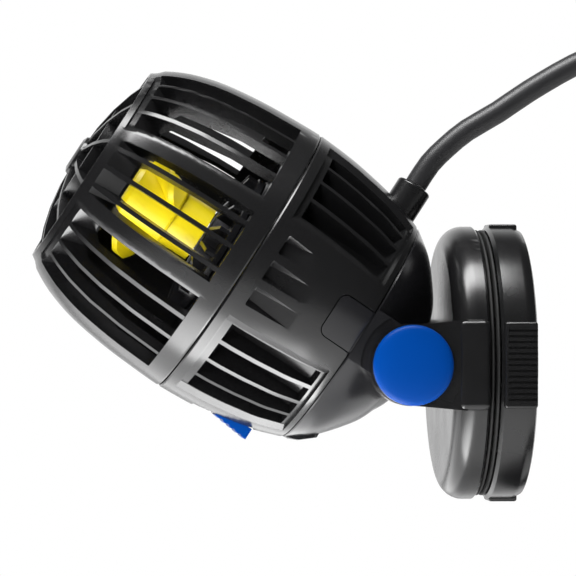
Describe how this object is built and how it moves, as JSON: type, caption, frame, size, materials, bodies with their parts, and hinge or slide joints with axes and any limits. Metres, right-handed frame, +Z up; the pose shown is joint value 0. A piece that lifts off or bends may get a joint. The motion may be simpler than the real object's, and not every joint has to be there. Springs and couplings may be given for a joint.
{
  "type": "wave maker pump",
  "caption": "Barrel-shaped aquarium wave maker with slotted cages and a yellow propeller, tilting in a fork on a two-part magnet glass mount, with its lead coiled.",
  "frame": {"origin": "centre of the mount, on the face of the wet-side pad that rests on the glass", "axes": "+X from the pump through the glass to the dry side, +Z up, +Y across the fork"},
  "size_m": [0.2285, 0.1031, 0.1881],
  "materials": {
    "black_shell": "satin moulded",
    "gloss_black": "gloss moulded",
    "blue_plastic": "semi-gloss moulded",
    "yellow_plastic": "semi-gloss moulded",
    "black_rubber": "matt",
    "cable_jacket": "satin soft PVC",
    "ferrite": "sintered",
    "ceramic": "fine ground ceramic",
    "steel": "stainless",
    "green_board": "solder mask",
    "copper_wire": "enamelled winding wire"
  },
  "bodies": {
    "root": {"wet_housing": "black_shell", "wet_magnet": "ferrite", "wet_cover": "black_shell", "wet_pad": "black_rubber", "pivot_bolt_near": "steel", "pivot_bolt_far": "steel", "pivot_washer_near": "black_rubber", "pivot_washer_far": "black_rubber", "pivot_cap_near": "blue_plastic", "pivot_cap_far": "blue_plastic", "cable_lead": "cable_jacket", "cable_coil": "cable_jacket", "cable_end": "cable_jacket", "cable_tie": "cable_jacket", "connector": "black_shell"},
    "pump": {"rear_cage": "black_shell", "rear_shell": "gloss_black", "motor_can": "gloss_black", "motor_flange": "gloss_black", "stator_core": "steel", "stator_coil_1": "copper_wire", "stator_coil_2": "copper_wire", "stator_coil_3": "copper_wire", "stator_coil_4": "copper_wire", "stator_coil_5": "copper_wire", "stator_coil_6": "copper_wire", "circuit_board": "green_board", "o_ring": "black_rubber", "shaft": "ceramic", "cable_gland": "black_shell", "latch_spring": "steel"},
    "rotor": {"propeller": "yellow_plastic", "rotor_magnet": "ferrite", "rotor_sleeve": "ferrite", "front_bush": "ceramic", "rear_bush": "ceramic"},
    "front_cage": {"front_cage": "black_shell", "front_guard": "black_shell", "shroud_ring": "black_shell", "front_cushion": "black_rubber"},
    "latch": {"release_latch": "blue_plastic"},
    "dry_side": {"dry_housing": "black_shell", "dry_magnet": "ferrite", "dry_cover": "black_shell", "dry_pad": "black_rubber"}
  },
  "joints": [
    {"name": "pump_tilt", "type": "hinge", "parent": "root", "child": "pump", "pos_m": [-0.0235, 0, 0], "axis": [0, 1, 0], "range_deg": [-68, 4], "deforming": ["cable_lead"]},
    {"name": "propeller_spin", "type": "hinge", "parent": "pump", "child": "rotor", "pos_m": [-0.0235, 0, 0], "axis": [-0.8387, 0, 0.5446], "continuous": true},
    {"name": "front_cage_twist", "type": "hinge", "parent": "pump", "child": "front_cage", "pos_m": [-0.0235, 0, 0], "axis": [-0.8387, 0, 0.5446], "range_deg": [0, 15]},
    {"name": "latch_slide", "type": "slide", "parent": "pump", "child": "latch", "axis": [-0.8387, 0, 0.5446], "range_m": [0, 0.0035], "stiffness_N_per_m": 400, "springref_m": -0.002, "deforming": ["latch_spring"]},
    {"name": "dry_magnet_pull", "type": "slide", "parent": "root", "child": "dry_side", "axis": [1, 0, 0], "range_m": [0, 0.015], "stiffness_N_per_m": 150, "springref_m": -0.02}
  ]
}
